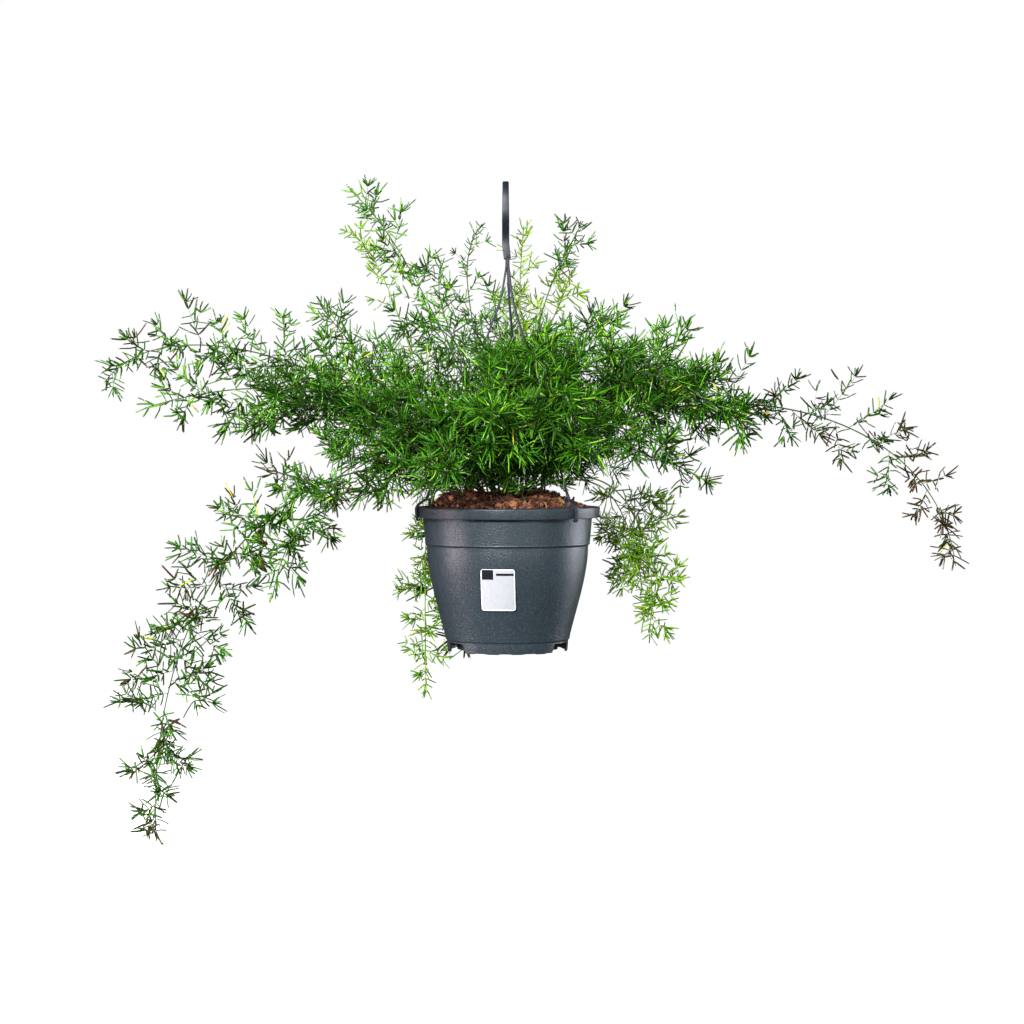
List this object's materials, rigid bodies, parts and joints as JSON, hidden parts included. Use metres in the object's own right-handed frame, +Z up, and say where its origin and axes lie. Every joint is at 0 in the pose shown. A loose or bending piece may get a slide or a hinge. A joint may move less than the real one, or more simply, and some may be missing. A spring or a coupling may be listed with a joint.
{
  "type": "potted asparagus fern in a hanging pot",
  "caption": "Sprengeri asparagus fern with arching and trailing needle-leaved stems, in a round plastic hanging pot with a three-strand hook hanger.",
  "frame": {"origin": "middle of the hook's flat seat, where it bears on the top of a rod", "axes": "+Z up, +X along the plant's widest spread, to the right of the viewer, +Y away from the viewer"},
  "size_m": [0.9116, 0.4502, 0.6921],
  "materials": {
    "pot_plastic": "moulded, fine satin grain",
    "hanger_plastic": "moulded, satin",
    "growing_medium": "bark and coir, rough",
    "label_paper": "smooth sticker",
    "foliage_mature": "waxy leaf",
    "foliage_young": "waxy young leaf"
  },
  "bodies": {
    "root": {"hanger": "hanger_plastic", "pot": "pot_plastic", "soil": "growing_medium", "label": "label_paper", "stem_01": "foliage_mature", "stem_02": "foliage_mature", "stem_03": "foliage_mature", "stem_04": "foliage_mature", "stem_05": "foliage_mature", "stem_06": "foliage_mature", "stem_07": "foliage_mature", "stem_08": "foliage_mature", "stem_09": "foliage_young", "stem_10": "foliage_young", "stem_11": "foliage_mature", "stem_12": "foliage_mature", "stem_13": "foliage_young", "stem_14": "foliage_young", "stem_15": "foliage_mature", "stem_16": "foliage_mature", "stem_17": "foliage_mature", "stem_18": "foliage_mature", "stem_19": "foliage_mature", "stem_20": "foliage_mature", "stem_21": "foliage_young", "stem_22": "foliage_mature", "stem_23": "foliage_mature", "stem_24": "foliage_young", "stem_25": "foliage_mature", "stem_26": "foliage_mature", "stem_27": "foliage_mature", "stem_28": "foliage_mature", "stem_29": "foliage_mature", "stem_30": "foliage_mature", "stem_31": "foliage_mature", "stem_32": "foliage_mature", "stem_33": "foliage_mature", "stem_34": "foliage_mature", "stem_35": "foliage_mature", "stem_36": "foliage_mature", "stem_37": "foliage_mature", "stem_38": "foliage_mature", "stem_39": "foliage_mature", "stem_40": "foliage_mature", "stem_41": "foliage_mature", "stem_42": "foliage_mature"}
  },
  "joints": []
}
